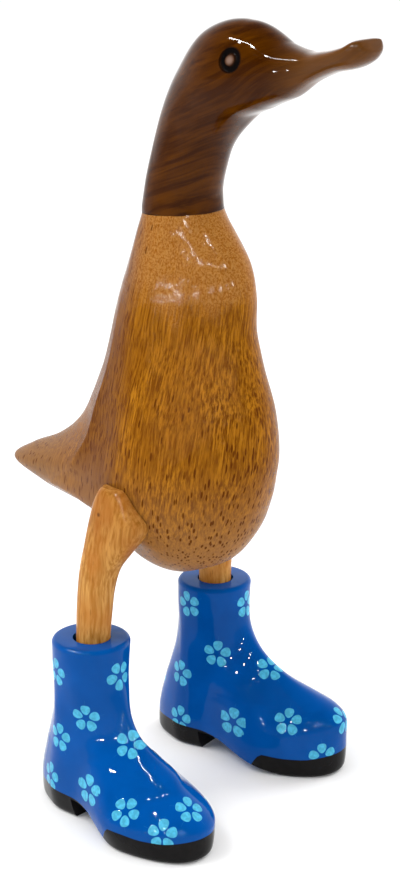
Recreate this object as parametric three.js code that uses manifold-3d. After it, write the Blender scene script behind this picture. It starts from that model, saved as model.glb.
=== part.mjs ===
// A carved wooden duck that stands upright in a pair of painted boots.
// The head and neck are one dark piece, the body and tail one pale piece, and
// each leg is a pale stick that is glued to the body and into a hole in its boot.
// Millimetres, +Z up, the duck looks along -Y and its left side is at +X.
// Shapes are first drawn about a point on the floor midway between the boots.

import * as THREE from "three";
import { mergeVertices } from "three/addons/utils/BufferGeometryUtils.js";
import Module from "manifold-3d";

const wasm = await Module();
wasm.setup();

// Driving dimensions
const GLUE_GAP = 0.3;
const CUT_CLEARANCE = 2;
const NECK_JOINT = { y: -15.4, z: 218.5, radius: 14.4, slope: 0.07 };
const BOOT_HEIGHT = 67.2;
const BOOT_SPREAD = 36.2;
const BOOT_STAGGER = 1.9;
const BOOT_CARVING = {
  left: { splay: 6.7, heel: 1.07, ball: 1.02, length: 0.99, instep: 1.02, archEnd: 46 },
  right: { splay: 4.6, heel: 0.93, ball: 0.98, length: 0.98, instep: 0.79, archEnd: 34 },
};
const INSTEP = { starts: 11, full: 23, fades: 30, ends: 50 };
const RING_RADIUS = 14.2;
const RING_FORWARD = 0.9;
const HOLE = { forward: 1.3, radius: 6.9, floor: 42 };
const RIM_ROUNDING = 1.6;
const ARCH = { start: 3.5, bend: 13, rise: 8.2, roundTop: 4, roundEnd: 8, width: 60 };
const EYE = { x: 13.2, y: -46.8, z: 272.8, radius: 3, groove: 1.2, tilt: THREE.MathUtils.degToRad(14) };

// How finely the curved surfaces are cut into flats
const BODY_ROWS_PER_RIB = 3;
const HEAD_ROWS_PER_STATION = 3;
const LEG_ROWS_PER_LEVEL = 2;
const BOOT_ROWS_PER_LEVEL = 2;
const BODY_SIDE_STEPS = 5;
const BOOT_SIDE_STEPS = 4;
const HEAD_SIDES = 24;
const LEG_SIDES = 18;
const HOLE_SIDES = 20;
const EYE_RING_SIDES = 20;
const EYE_GROOVE_SIDES = 6;
const ARCH_STEPS = 6;

// Points nearer than this are one point, and a curve's direction is read this far to each side
const WELD = 1e-4;
const NEARBY = 0.05;

// How far an arc's handle reaches along its chord. This value makes a third of a half circle round.
const ARC_HANDLE = 0.354;

const dark = new THREE.MeshStandardMaterial({ color: 0x5a3416, roughness: 0.18, metalness: 0 });
const pale = new THREE.MeshStandardMaterial({ color: 0xb07a35, roughness: 0.22, metalness: 0 });
const straw = new THREE.MeshStandardMaterial({ color: 0xc4883f, roughness: 0.3, metalness: 0 });
const paint = new THREE.MeshStandardMaterial({ color: 0x0a55b4, roughness: 0.12, metalness: 0 });

// Curves

// A smooth value between the entries of a list. `before` stands ahead of the first entry.
function between(list, at, before = list[0]) {
  const last = list.length - 1;
  const i = Math.min(Math.floor(at), last - 1);
  const t = at - i;
  const [p0, p1, p2] = [i > 0 ? list[i - 1] : before, list[i], list[i + 1]];
  const p3 = i + 2 > last ? p2 : list[i + 2];
  return p1.map((v, k) => {
    const m1 = (p2[k] - p0[k]) / 2;
    const m2 = (p3[k] - v) / 2;
    const rise = p2[k] - v;
    return v + t * (m1 + t * (3 * rise - 2 * m1 - m2 + t * (m1 + m2 - 2 * rise)));
  });
}

// Half an outline through points, square to the middle plane at both ends. A crease of 1
// breaks the curve at the last point but one, and 0 runs smoothly through it.
function halfOutline(points, steps, crease = 0, blunt = 1) {
  const last = points.length - 1;
  const chord = (i, j) => points[j].clone().sub(points[i]).normalize();
  const outward = new THREE.Vector3(1, 0, 0);
  const heading = (i, leaving) => {
    if (i === 0) return outward;
    if (i === last) return outward.clone().negate();
    const smooth = chord(i - 1, i + 1);
    if (i < last - 1) return smooth;
    return smooth.lerp(leaving ? chord(i, i + 1) : chord(i - 1, i), crease).normalize();
  };
  const outline = [points[0]];
  for (let i = 0; i < last; i++) {
    const [from, to] = [points[i], points[i + 1]];
    const reach = ARC_HANDLE * from.distanceTo(to);
    const ending = i + 1 === last ? reach * blunt : reach;
    const leave = from.clone().addScaledVector(heading(i, true), reach);
    const arrive = to.clone().addScaledVector(heading(i + 1, false), -ending);
    outline.push(...new THREE.CubicBezierCurve3(from, leave, arrive, to).getPoints(steps).slice(1));
  }
  return outline;
}

// Turns a circle's sine or cosine into that of a squarer outline. A squareness of 2 is round.
function squared(v, squareness) {
  return Math.sign(v) * Math.abs(v) ** (2 / squareness);
}

// The whole outline, from its half on the +X side.
function mirrored(half) {
  const other = half.slice(1, -1).reverse();
  return [...half, ...other.map((p) => new THREE.Vector3(-p.x, p.y, p.z))];
}

// A closed solid from rings of points, with a fan at each end. A ring of one point is a tip.
function solidFromRings(rings) {
  const points = [];
  const faces = [];
  const starts = rings.map((ring) => {
    points.push(...ring);
    return points.length - ring.length;
  });
  const cap = (k, flip) => {
    const ring = rings[k];
    if (ring.length === 1) return;
    const middle = ring.reduce((sum, p) => sum.add(p), new THREE.Vector3()).divideScalar(ring.length);
    points.push(middle);
    ring.forEach((_, i) => {
      const pair = [starts[k] + i, starts[k] + ((i + 1) % ring.length)];
      faces.push(points.length - 1, ...(flip ? pair.reverse() : pair));
    });
  };
  for (let k = 0; k + 1 < rings.length; k++) {
    const n = Math.max(rings[k].length, rings[k + 1].length);
    const low = (i) => starts[k] + (i % rings[k].length);
    const high = (i) => starts[k + 1] + (i % rings[k + 1].length);
    for (let i = 0; i < n; i++) {
      if (rings[k].length > 1) faces.push(low(i), low(i + 1), high(i + 1));
      if (rings[k + 1].length > 1) faces.push(low(i), high(i + 1), high(i));
    }
  }
  cap(0, true);
  cap(rings.length - 1, false);
  const geometry = new THREE.BufferGeometry().setFromPoints(points);
  geometry.setIndex(faces);
  return geometry;
}

// Cutting and joining

function toSolid(geometry, matrix = new THREE.Matrix4()) {
  const placed = geometry.clone().applyMatrix4(matrix);
  ["normal", "uv"].forEach((name) => placed.deleteAttribute(name));
  const merged = mergeVertices(placed, WELD);
  return new wasm.Manifold(
    new wasm.Mesh({
      numProp: 3,
      vertProperties: merged.attributes.position.array,
      triVerts: new Uint32Array(merged.index.array),
    }),
  );
}

function toGeometry(solid) {
  const { vertProperties, triVerts } = solid.getMesh();
  const geometry = new THREE.BufferGeometry();
  geometry.setAttribute("position", new THREE.BufferAttribute(vertProperties, 3));
  return geometry.setIndex(new THREE.BufferAttribute(triVerts, 1));
}

function piece(name, geometry, material) {
  const mesh = new THREE.Mesh(geometry, material);
  mesh.name = name;
  return mesh;
}

// Body and tail

// Ribs from the lowest point of the belly to the neck joint. Each has four points of half
// a section: the breast on the middle plane, the side, the ridge that borders the back, and
// the back itself on the middle plane. Then how sharp the ridge is and how blunt the back.
const BELLY_TIP = [-15, 86.3];
const RIBS = [
  { breast: [-22.5, 88], side: [8, -19.5, 88], ridge: [8.5, -10, 89], back: [-3.5, 88.5], edge: [0, 1] },
  { breast: [-36, 94], side: [16.5, -23.5, 93.5], ridge: [15.5, -4, 95], back: [9, 93.5], edge: [0, 1] },
  { breast: [-44, 104], side: [25, -24, 103], ridge: [15, 9, 106.5], back: [26.5, 100], edge: [0, 1] },
  { breast: [-48.5, 115], side: [29, -24, 113], ridge: [14, 38, 110], back: [53, 105], edge: [0.4, 0.8] },
  { breast: [-51.5, 126], side: [30, -24, 124], ridge: [17.5, 29.5, 117], back: [70, 112], edge: [0.9, 0.7] },
  { breast: [-53, 134], side: [30, -24, 132], ridge: [20.5, 22.5, 122.5], back: [61, 119], edge: [1.2, 0.5] },
  { breast: [-53, 142], side: [29, -24, 140], ridge: [22.5, 16.5, 129], back: [46, 126], edge: [1.3, 0.5] },
  { breast: [-51.5, 152], side: [27.5, -23, 150], ridge: [23, 11, 137], back: [33.5, 136], edge: [1.2, 0.6] },
  { breast: [-48, 164], side: [25, -21, 162], ridge: [22.5, 6.5, 150], back: [24, 150.5], edge: [0.8, 0.8] },
  { breast: [-45, 178], side: [22, -20, 176], ridge: [20.5, 2, 165.5], back: [16, 166.5], edge: [0.4, 1] },
  { breast: [-45, 192], side: [20.5, -20, 190], ridge: [17.5, -0.5, 184], back: [10, 187.5], edge: [0.1, 1] },
  { breast: [-41.5, 204.5], side: [17.5, -21, 203.5], ridge: [15, -4, 201], back: [4, 202.5], edge: [0, 1] },
  neckRib(),
];

// The top rib is the round face that the neck is glued to. It rises towards the breast.
function neckRib() {
  const { y, z, radius, slope } = NECK_JOINT;
  const level = (offset) => [y + offset, z - slope * offset];
  const [half, wide] = [radius / 2, radius * Math.cos(Math.PI / 6)];
  return {
    breast: level(-radius),
    side: [wide, ...level(-half)],
    ridge: [wide, ...level(half)],
    back: level(radius),
    edge: [0, 1],
  };
}

function bodyRing(at) {
  const tip = [0, ...BELLY_TIP];
  const guide = (read) => {
    const list = [tip, ...RIBS.map(read)];
    // The belly runs level through its lowest point.
    const [first, second] = list;
    const before = [2 * first[0] - second[0], 2 * first[1] - second[1], second[2]];
    return new THREE.Vector3(...between(list, at, before));
  };
  const corners = [
    guide((rib) => [0, ...rib.breast]),
    guide((rib) => rib.side),
    guide((rib) => rib.ridge),
    guide((rib) => [0, ...rib.back]),
  ];
  const [crease, blunt] = between([[0, 1], ...RIBS.map((rib) => rib.edge)], at);
  return mirrored(halfOutline(corners, BODY_SIDE_STEPS, crease, blunt));
}

function bodyGeometry() {
  const rows = RIBS.length * BODY_ROWS_PER_RIB;
  const rings = [[new THREE.Vector3(0, ...BELLY_TIP)]];
  for (let row = 1; row <= rows; row++) rings.push(bodyRing(row / BODY_ROWS_PER_RIB));
  return solidFromRings(rings);
}

// Head, neck and bill

// Stations from the neck joint to the end of the bill: the middle of the section, its half
// width, its reach to the back or crown, its reach to the throat or chin, and how square it
// is above and below the middle, where 2 is round.
const STATIONS = [
  neckStation(),
  { at: [-16.5, 228], half: 13.5, crown: 14, throat: 13, square: [2, 2] },
  { at: [-18.8, 237.5], half: 13, crown: 13.7, throat: 12.9, square: [2, 2.1] },
  { at: [-23, 247.5], half: 12.5, crown: 15, throat: 12.8, square: [2, 2.2] },
  { at: [-29.5, 256.8], half: 13.4, crown: 16.9, throat: 13.2, square: [2, 2.4] },
  { at: [-38.5, 264], half: 14.5, crown: 19.9, throat: 12.6, square: [2, 2.6] },
  { at: [-49.5, 268], half: 13.4, crown: 17.2, throat: 12, square: [2, 2.7] },
  { at: [-61, 269.8], half: 10.5, crown: 8.8, throat: 9.3, square: [2.1, 2.8] },
  { at: [-70.5, 271.5], half: 7.5, crown: 5, throat: 5, square: [2.4, 2.7] },
  { at: [-79, 274.5], half: 8, crown: 3, throat: 4.5, square: [2.5, 2.4] },
  { at: [-87, 277.5], half: 9, crown: 2.1, throat: 5.5, square: [2.6, 2.2] },
  { at: [-91, 279.8], half: 8.2, crown: 1.8, throat: 5.2, square: [2.6, 2.2] },
  { at: [-93, 281], half: 6, crown: 0.8, throat: 3.6, square: [2.4, 2.2] },
];

function neckStation() {
  const { y, z, radius } = NECK_JOINT;
  return { at: [y, z + GLUE_GAP], half: radius, crown: radius, throat: radius, square: [2, 2] };
}

function headRing(at) {
  const spine = STATIONS.map((station) => station.at);
  const [y, z] = between(spine, at);
  const ahead = between(spine, Math.min(at + NEARBY, STATIONS.length - 1));
  const behind = between(spine, Math.max(at - NEARBY, 0));
  const forward = new THREE.Vector3(0, ahead[0] - behind[0], ahead[1] - behind[1]);
  if (at === 0) forward.set(0, NECK_JOINT.slope, 1);
  forward.normalize();
  const up = new THREE.Vector3(0, forward.z, -forward.y);
  const sizes = STATIONS.map((station) => [station.half, station.crown, station.throat, ...station.square]);
  const [half, crown, throat, above, below] = between(sizes, at);
  return Array.from({ length: HEAD_SIDES }, (_, i) => {
    const angle = (i / HEAD_SIDES) * 2 * Math.PI;
    const [reach, square] = Math.sin(angle) > 0 ? [crown, above] : [throat, below];
    const across = squared(Math.cos(angle), square) * half;
    return new THREE.Vector3(across, y, z).addScaledVector(up, squared(Math.sin(angle), square) * reach);
  });
}

// The ring drilled for an eye leaves a round dot of wood in its middle.
function eyeGroove(side) {
  const ring = new THREE.TorusGeometry(EYE.radius, EYE.groove, EYE_GROOVE_SIDES, EYE_RING_SIDES);
  const facing = side * (Math.PI / 2);
  return toSolid(ring.rotateY(facing).rotateY(-side * EYE.tilt).translate(side * EYE.x, EYE.y, EYE.z));
}

function headGeometry() {
  const rows = (STATIONS.length - 1) * HEAD_ROWS_PER_STATION;
  const rings = Array.from({ length: rows + 1 }, (_, row) => headRing(row / HEAD_ROWS_PER_STATION));
  const head = toSolid(solidFromRings(rings));
  return toGeometry(head.subtract(eyeGroove(1)).subtract(eyeGroove(-1)));
}

// Legs

// Level sections from the foot of the leg, in its boot, to the cut top of the thigh. The
// middle is a distance out from the duck's middle plane, and the front and back edges are
// measured from the middle of the boot's hole.
const LEG_LEVELS = [
  { z: HOLE.floor + GLUE_GAP, out: 36, half: 6, front: -6, back: 6, square: 2 },
  { z: 55, out: 36, half: 6.1, front: -6.2, back: 6, square: 2 },
  { z: 67, out: 35.8, half: 6.2, front: -6.5, back: 5.9, square: 2 },
  { z: 77, out: 35.4, half: 6.3, front: -7.2, back: 5.8, square: 2.1 },
  { z: 86, out: 34.8, half: 6.4, front: -8, back: 5.4, square: 2.2 },
  { z: 94, out: 33.8, half: 6.5, front: -10, back: 4.9, square: 2.4 },
  { z: 101, out: 32.4, half: 6.6, front: -14.6, back: 4.2, square: 2.7 },
  { z: 107, out: 31.2, half: 6.6, front: -19, back: 3.6, square: 3 },
  { z: 112.5, out: 30.4, half: 6.5, front: -21, back: 2.8, square: 3 },
  { z: 118, out: 29.7, half: 6.2, front: -16.8, back: 1.4, square: 3 },
  { z: 122.4, out: 29.2, half: 5.8, front: -13.4, back: -0.8, square: 3 },
  { z: 124, out: 28.8, half: 4.8, front: -11.6, back: -2, square: 2.8 },
];

const LEG_ROWS = LEG_LEVELS.map((level) => Object.values(level));

function legRing(at) {
  const [z, out, half, front, back, square] = between(LEG_ROWS, at);
  return Array.from({ length: LEG_SIDES }, (_, i) => {
    const angle = (i / LEG_SIDES) * 2 * Math.PI;
    const y = (front + back) / 2 + squared(Math.sin(angle), square) * (back - front) / 2;
    return new THREE.Vector3(out + squared(Math.cos(angle), square) * half, y, z);
  });
}

function legGeometry() {
  const rows = (LEG_LEVELS.length - 1) * LEG_ROWS_PER_LEVEL;
  return solidFromRings(Array.from({ length: rows + 1 }, (_, row) => legRing(row / LEG_ROWS_PER_LEVEL)));
}

// Boots

// Level outlines from the sole to under the rim. The toe points along +Y here and is turned
// later: height, back of the heel, heel side, waist, ball side and tip of the toe.
const BOOT_LEVELS = [
  { z: 0, heel: -23, side: [11.4, -9], waist: [11.4, 8], ball: [16.2, 36], toe: 57.4, blunt: 1 },
  { z: 2, heel: -23.8, side: [12.8, -9], waist: [12.8, 8], ball: [17.6, 36], toe: 59.6, blunt: 1 },
  { z: 9, heel: -23.6, side: [13.8, -9], waist: [14.8, 8], ball: [19.4, 36], toe: 60, blunt: 1 },
  { z: 15, heel: -22.6, side: [13.4, -9], waist: [14.6, 8], ball: [18.8, 35.5], toe: 59.8, blunt: 1 },
  { z: 21, heel: -21, side: [12.8, -8.5], waist: [13.6, 8], ball: [17, 33.5], toe: 59, blunt: 0.9 },
  { z: 24.5, heel: -20, side: [12.5, -8.2], waist: [12.8, 7.5], ball: [14.6, 30], toe: 55.6, blunt: 0.9 },
  { z: 27, heel: -19.2, side: [12.2, -8], waist: [12.4, 6.5], ball: [12.4, 26], toe: 50.6, blunt: 0.8 },
  { z: 33, heel: -17.2, side: [12, -7.5], waist: [12, 4], ball: [9.6, 18.5], toe: 35, blunt: 0.5 },
  { z: 40, heel: -15.2, side: [11.8, -7], waist: [12.2, 1.8], ball: [9.8, 11.5], toe: 23.6, blunt: 0.6 },
  { z: 49, heel: -14, side: [11.2, -7.4], waist: [13, 1], ball: [10.6, 9.4], toe: 17, blunt: 0.8 },
  { z: 58, heel: -13.5, side: [10.6, -8.6], waist: [13.8, 0.8], ball: [10.6, 9.8], toe: 15.2, blunt: 1 },
  rimLevel(),
];
const BOOT_ROWS = BOOT_LEVELS.map((level) => Object.values(level).flat());

// The rim is round.
function rimLevel() {
  const [y, r, diagonal] = [RING_FORWARD, RING_RADIUS, RING_RADIUS * Math.SQRT1_2];
  return {
    z: BOOT_HEIGHT - RIM_ROUNDING,
    heel: y - r,
    side: [diagonal, y - diagonal],
    waist: [r, y],
    ball: [diagonal, y + diagonal],
    toe: y + r,
    blunt: 1,
  };
}

function bootRing(at, carving) {
  const { lerp, smoothstep } = THREE.MathUtils;
  const [z, heel, sideX, sideY, waistX, waistY, ballX, ballY, toe, blunt] = between(BOOT_ROWS, at);
  // The two boots differ below the rim, and most over the instep.
  const rise = z / BOOT_HEIGHT;
  const narrow = lerp(carving.heel, 1, rise);
  const over = smoothstep(z, INSTEP.starts, INSTEP.full) * (1 - smoothstep(z, INSTEP.fades, INSTEP.ends));
  const slim = lerp(1, carving.instep, over);
  const wide = lerp(carving.ball, 1, rise) * slim;
  const long = lerp(carving.length, 1, rise) * slim;
  const corners = [
    new THREE.Vector3(0, heel, z),
    new THREE.Vector3(sideX * narrow, sideY, z),
    new THREE.Vector3(waistX * narrow, waistY, z),
    new THREE.Vector3(ballX * wide, ballY * long, z),
    new THREE.Vector3(0, toe * long, z),
  ];
  return mirrored(halfOutline(corners, BOOT_SIDE_STEPS, 0, blunt));
}

function bootGeometry(carving) {
  const rows = (BOOT_LEVELS.length - 1) * BOOT_ROWS_PER_LEVEL;
  const rings = Array.from({ length: rows + 1 }, (_, row) => bootRing(row / BOOT_ROWS_PER_LEVEL, carving));
  const rim = rings.at(-1);
  const middle = new THREE.Vector3(0, RING_FORWARD, rim[0].z);
  for (const angle of [Math.PI / 4, Math.PI / 2]) {
    const inset = (RIM_ROUNDING * (1 - Math.cos(angle))) / RING_RADIUS;
    const rise = RIM_ROUNDING * Math.sin(angle);
    rings.push(rim.map((p) => p.clone().lerp(middle, inset).setZ(p.z + rise)));
  }
  return solidFromRings(rings);
}

// The hollow under the instep, between the heel block and the ball of the foot.
function archGeometry(end) {
  const { start, bend, rise, width } = ARCH;
  const side = new THREE.Shape();
  side.moveTo(start, -CUT_CLEARANCE);
  side.lineTo(start, rise);
  side.lineTo(bend, rise);
  side.bezierCurveTo(bend + ARCH.roundTop, rise, end - ARCH.roundEnd, 0, end, 0);
  side.lineTo(end, -CUT_CLEARANCE);
  const extent = { depth: width, bevelEnabled: false, curveSegments: ARCH_STEPS };
  const block = new THREE.ExtrudeGeometry(side, extent);
  // From the drawing's X and Y to the boot's length and height.
  const stand = new THREE.Matrix4().makeBasis(
    new THREE.Vector3(0, 1, 0),
    new THREE.Vector3(0, 0, 1),
    new THREE.Vector3(1, 0, 0),
  );
  return block.applyMatrix4(stand).translate(-width / 2, 0, 0);
}

function bootSolid(carving) {
  const depth = BOOT_HEIGHT - HOLE.floor + CUT_CLEARANCE;
  const hole = new THREE.CylinderGeometry(HOLE.radius, HOLE.radius, depth, HOLE_SIDES);
  hole.rotateX(Math.PI / 2).translate(0, HOLE.forward, HOLE.floor + depth / 2);
  const arch = archGeometry(carving.archEnd);
  return toSolid(bootGeometry(carving)).subtract(toSolid(arch)).subtract(toSolid(hole));
}

// Placing

const duck = new THREE.Group();
const bodyShape = bodyGeometry();
duck.add(piece("head_and_neck", headGeometry(), dark));
duck.add(piece("body_and_tail", bodyShape, pale));

const body = toSolid(bodyShape);
for (const [side, name] of [[1, "left"], [-1, "right"]]) {
  const carving = BOOT_CARVING[name];
  const boot = piece(name + "_boot", toGeometry(bootSolid(carving)), paint);
  boot.position.set(BOOT_SPREAD * side, BOOT_STAGGER * side, 0);
  boot.rotation.z = Math.PI + THREE.MathUtils.degToRad(carving.splay) * side;

  const hole = new THREE.Vector3(0, HOLE.forward, 0).applyEuler(boot.rotation).add(boot.position);
  const mirror = [side, 0, 0, 0, 0, 1, 0, 0, 0, 0, 1, 0, 0, 0, 0, 1];
  const thigh = toSolid(legGeometry()).translate(0, hole.y, 0).transform(mirror);
  const leg = thigh.subtract(body.translate(GLUE_GAP * side, 0, 0)).subtract(body.translate(0, 0, -GLUE_GAP));
  duck.add(piece(name + "_leg", toGeometry(leg), straw), boot);
}

// The duck stands on its origin, which is the middle of its bounding box seen from above.
const middle = new THREE.Box3().setFromObject(duck, true).getCenter(new THREE.Vector3());
duck.position.set(-middle.x, -middle.y, 0);

export default duck;
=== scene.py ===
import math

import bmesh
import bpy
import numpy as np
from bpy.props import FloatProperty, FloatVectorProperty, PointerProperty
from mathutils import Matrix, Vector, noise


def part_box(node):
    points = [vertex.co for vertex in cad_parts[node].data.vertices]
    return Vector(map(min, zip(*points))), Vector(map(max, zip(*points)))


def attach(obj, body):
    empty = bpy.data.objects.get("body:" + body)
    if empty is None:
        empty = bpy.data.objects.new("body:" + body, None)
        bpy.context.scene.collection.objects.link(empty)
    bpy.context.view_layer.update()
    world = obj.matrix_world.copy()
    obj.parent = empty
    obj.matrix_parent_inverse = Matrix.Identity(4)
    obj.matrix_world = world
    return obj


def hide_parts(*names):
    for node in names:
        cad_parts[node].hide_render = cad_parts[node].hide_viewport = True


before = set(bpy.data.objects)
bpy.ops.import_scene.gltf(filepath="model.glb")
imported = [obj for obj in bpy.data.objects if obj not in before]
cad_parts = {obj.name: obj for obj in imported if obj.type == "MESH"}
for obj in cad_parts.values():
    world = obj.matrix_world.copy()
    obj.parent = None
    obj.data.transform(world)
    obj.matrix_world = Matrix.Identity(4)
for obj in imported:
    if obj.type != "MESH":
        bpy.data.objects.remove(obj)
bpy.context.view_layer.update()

# A carved wooden duck that stands upright in a pair of painted boots: a dark head and
# neck, a golden body and tail, two honey-coloured legs, and two blue boots with black
# soles and small five-petalled flowers.
#
# Shapes are drawn in millimetres about a point on the floor midway between the boots,
# with +Z up, the duck looking along -Y and its left side at +X, and are then moved to
# where the frame has the duck.

bl_info = {
    "name": "Carved duck in boots",
    "version": (1, 0, 0),
    "blender": (4, 5, 0),
    "location": "3D View > Sidebar > Duck",
    "description": "Adds a carved wooden duck in painted boots, piece by piece",
    "category": "Add Mesh",
}

MM = 0.001


def table(columns, *rows):
    """Each row's values under the names of the columns."""
    return [dict(zip(columns.split(), row)) for row in rows]


# Sizes that the carving shares with the frame, in millimetres
GLUE_GAP = 0.3
NECK_JOINT = {"y": -15.4, "z": 218.5, "radius": 14.4, "slope": 0.07}
EYE = {"x": 13.2, "y": -46.8, "z": 272.8, "tilt": 14}
TAIL_END = 70.0
BOOT_HEIGHT = 67.2
BOOT_SPREAD = 36.2
BOOT_STAGGER = 1.9
# How each boot differs from the drawing: its turn outward in degrees, how wide it is at the
# heel and the ball, how long it is and how full its instep, all as shares, and then where
# the hollow under the instep ends and where the black of the sole begins.
LEFT_BOOT, RIGHT_BOOT = table(
    "splay heel ball length instep arch_end band",
    (6.7, 1.07, 1.02, 0.99, 1.02, 46, 31),
    (4.6, 0.93, 0.98, 0.98, 0.79, 34, 26),
)
BOOT_CARVING = {"left": LEFT_BOOT, "right": RIGHT_BOOT}
RING_RADIUS = 14.2
RING_FORWARD = 0.9
HOLE = {"forward": 1.3, "radius": 6.9, "floor": 42, "above": 2}
RIM_ROUNDING = 1.6
ARCH = {"start": 3.5, "bend": 13, "rise": 8.2}

# The ends of the arch's slope ease in and out, and its cutter sticks out below and sideways.
ARCH_CUTTER = {"ease_in": 4, "ease_out": 8, "below": 1, "reach": 30}

# How finely the surfaces are drawn
BODY_ROWS_PER_RIB = 14
HEAD_ROWS_PER_STATION = 18
LEG_ROWS_PER_LEVEL = 8
BOOT_ROWS_PER_LEVEL = 10
BODY_SIDE_STEPS = 30
BOOT_SIDE_STEPS = 16
RIM_STEPS = 9
ARCH_STEPS = 24
HEAD_SIDES = 160
LEG_SIDES = 72
HOLE_SIDES = 72
EYE_RING_SIDES = 72
EYE_GROOVE_SIDES = 24

# How deep and how long a gouge's waves are, and the smallest radius that has them, in millimetres
HEAD_WAVES = (0.12, 9)
BODY_WAVES = (0.25, 7)
SMALLEST_CARVED = 1

# Edges sharper than this angle in degrees are shaded as edges
SHARP_ANGLE = {"head": 30, "body": 60, "leg": 38, "boot": 32}

# How far an arc's handle reaches along its chord. This value rounds a third of a half circle.
ARC_HANDLE = 0.354


# Curves


def between(rows, at, before=None):
    """A smooth value between the rows of a list. `before` stands ahead of the first row."""
    rows = [np.asarray(row, float) for row in rows]
    last = len(rows) - 1
    i = min(int(at), last - 1)
    t = at - i
    ahead = rows[0] if before is None else np.asarray(before, float)
    p0, p1, p2 = (rows[i - 1] if i > 0 else ahead), rows[i], rows[i + 1]
    p3 = rows[min(i + 2, last)]
    m1, m2, rise = (p2 - p0) / 2, (p3 - p1) / 2, p2 - p1
    return p1 + t * (m1 + t * (3 * rise - 2 * m1 - m2 + t * (m1 + m2 - 2 * rise)))


def unit(v):
    return v / np.linalg.norm(v)


def arc(t, a, b, c, d):
    """A curve from a to d that sets out towards b and arrives from c."""
    return (1 - t) ** 3 * a + 3 * (1 - t) ** 2 * t * b + 3 * (1 - t) * t**2 * c + t**3 * d


def half_outline(points, steps, crease=0.0, blunt=1.0):
    """Half an outline through points, square to the middle plane at both ends.

    A crease of 1 breaks the curve at the last point but one, and 0 runs smoothly through it.
    A lower `blunt` makes the far end more pointed.
    """
    points = np.asarray(points, float)
    last = len(points) - 1

    def heading(i, leaving):
        if i in (0, last):
            return np.array([1.0 if i == 0 else -1.0, 0, 0])
        smooth = unit(points[i + 1] - points[i - 1])
        if i < last - 1:
            return smooth
        own = unit(points[i + 1] - points[i]) if leaving else unit(points[i] - points[i - 1])
        return unit(smooth + (own - smooth) * crease)

    outline = [points[:1]]
    t = np.linspace(0, 1, steps + 1)[1:, None]
    for i in range(last):
        a, d = points[i], points[i + 1]
        reach = ARC_HANDLE * np.linalg.norm(d - a)
        b = a + heading(i, True) * reach
        c = d - heading(i + 1, False) * reach * (blunt if i + 1 == last else 1)
        outline.append(arc(t, a, b, c, d))
    return np.concatenate(outline)


def circle(sides):
    """The angles of that many points around a circle."""
    return np.arange(sides) / sides * math.tau


def level_ring(x, y, z):
    return np.stack([x, y, np.full_like(x, z)], axis=1)


def squared(v, squareness):
    """Turns a circle's sines or cosines into those of a squarer outline. 2 is round."""
    return np.sign(v) * np.abs(v) ** (2 / squareness)


def mirrored(half):
    """The whole outline, from its half on the +X side."""
    return np.concatenate([half, half[-2:0:-1] * [-1, 1, 1]])


def smoothstep(v, low, high):
    t = np.clip((v - low) / (high - low), 0, 1)
    return t * t * (3 - 2 * t)


# Meshes


def origin():
    """The point on the floor midway between the boots, in the frame, in millimetres."""
    low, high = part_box("head_and_neck")
    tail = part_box("body_and_tail")[1]
    return np.array([(low[0] + high[0]) / 2 / MM, tail[1] / MM - TAIL_END, 0])


def put_in_scene(name, data):
    thing = bpy.data.objects.new(name, data)
    bpy.context.scene.collection.objects.link(thing)
    return thing


def piece_from_faces(name, points, faces):
    """A mesh in the scene, from points about the point midway between the boots."""
    mesh = bpy.data.meshes.new(name)
    mesh.from_pydata([tuple(p) for p in (np.array(points) + origin()) * MM], [], faces)
    mesh.validate()
    return put_in_scene(name, mesh)


def piece_from_rings(name, rings):
    """A closed mesh from rings of points, with a fan at each end. One point alone is a tip."""
    starts = np.cumsum([0] + [len(ring) for ring in rings])
    points = list(np.concatenate(rings))
    faces = []
    for k in range(len(rings) - 1):
        low, high = len(rings[k]), len(rings[k + 1])
        for i in range(max(low, high)):
            a, b = starts[k] + i % low, starts[k] + (i + 1) % low
            c, d = starts[k + 1] + (i + 1) % high, starts[k + 1] + i % high
            faces.append(list(dict.fromkeys((a, b, c, d))))
    for k, flip in ((0, True), (len(rings) - 1, False)):
        n = len(rings[k])
        if n == 1:
            continue
        points.append(np.mean(rings[k], axis=0))
        for i in range(n):
            pair = [starts[k] + i, starts[k] + (i + 1) % n]
            faces.append([len(points) - 1] + (pair[::-1] if flip else pair))
    return piece_from_faces(name, points, faces)


def ring_tube(name, rings):
    """A closed tube whose last ring joins its first."""
    loops, count = len(rings), len(rings[0])
    faces = []
    for k in range(loops):
        ring, next_ring = k * count, (k + 1) % loops * count
        for i in range(count):
            j = (i + 1) % count
            faces.append((ring + i, ring + j, next_ring + j, next_ring + i))
    tube = piece_from_faces(name, np.concatenate(rings), faces)
    outward(tube)
    return tube


def outward(piece):
    """Turns every face of a closed mesh outward."""
    shell = bmesh.new()
    shell.from_mesh(piece.data)
    bmesh.ops.recalc_face_normals(shell, faces=shell.faces)
    shell.to_mesh(piece.data)
    shell.free()


def cut(piece, cutter):
    """Takes the cutter's solid out of the piece, and the cutter out of the scene."""
    modifier = piece.modifiers.new("cut", "BOOLEAN")
    modifier.operation = "DIFFERENCE"
    modifier.solver = "EXACT"
    modifier.object = cutter
    bpy.context.view_layer.update()
    carved = piece.evaluated_get(bpy.context.evaluated_depsgraph_get())
    whole, piece.data = piece.data, bpy.data.meshes.new_from_object(carved)
    piece.modifiers.clear()
    bpy.data.meshes.remove(whole)
    bpy.data.objects.remove(cutter)


def vectors_of(items, key):
    """One vector of each vertex or face."""
    values = np.empty(len(items) * 3)
    items.foreach_get(key, values)
    return values.reshape(-1, 3)


def aim(thing, direction):
    """Turns a lamp or camera to look in a direction."""
    thing.rotation_mode = "QUATERNION"
    thing.rotation_quaternion = direction.to_track_quat("-Z", "Y")


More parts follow.
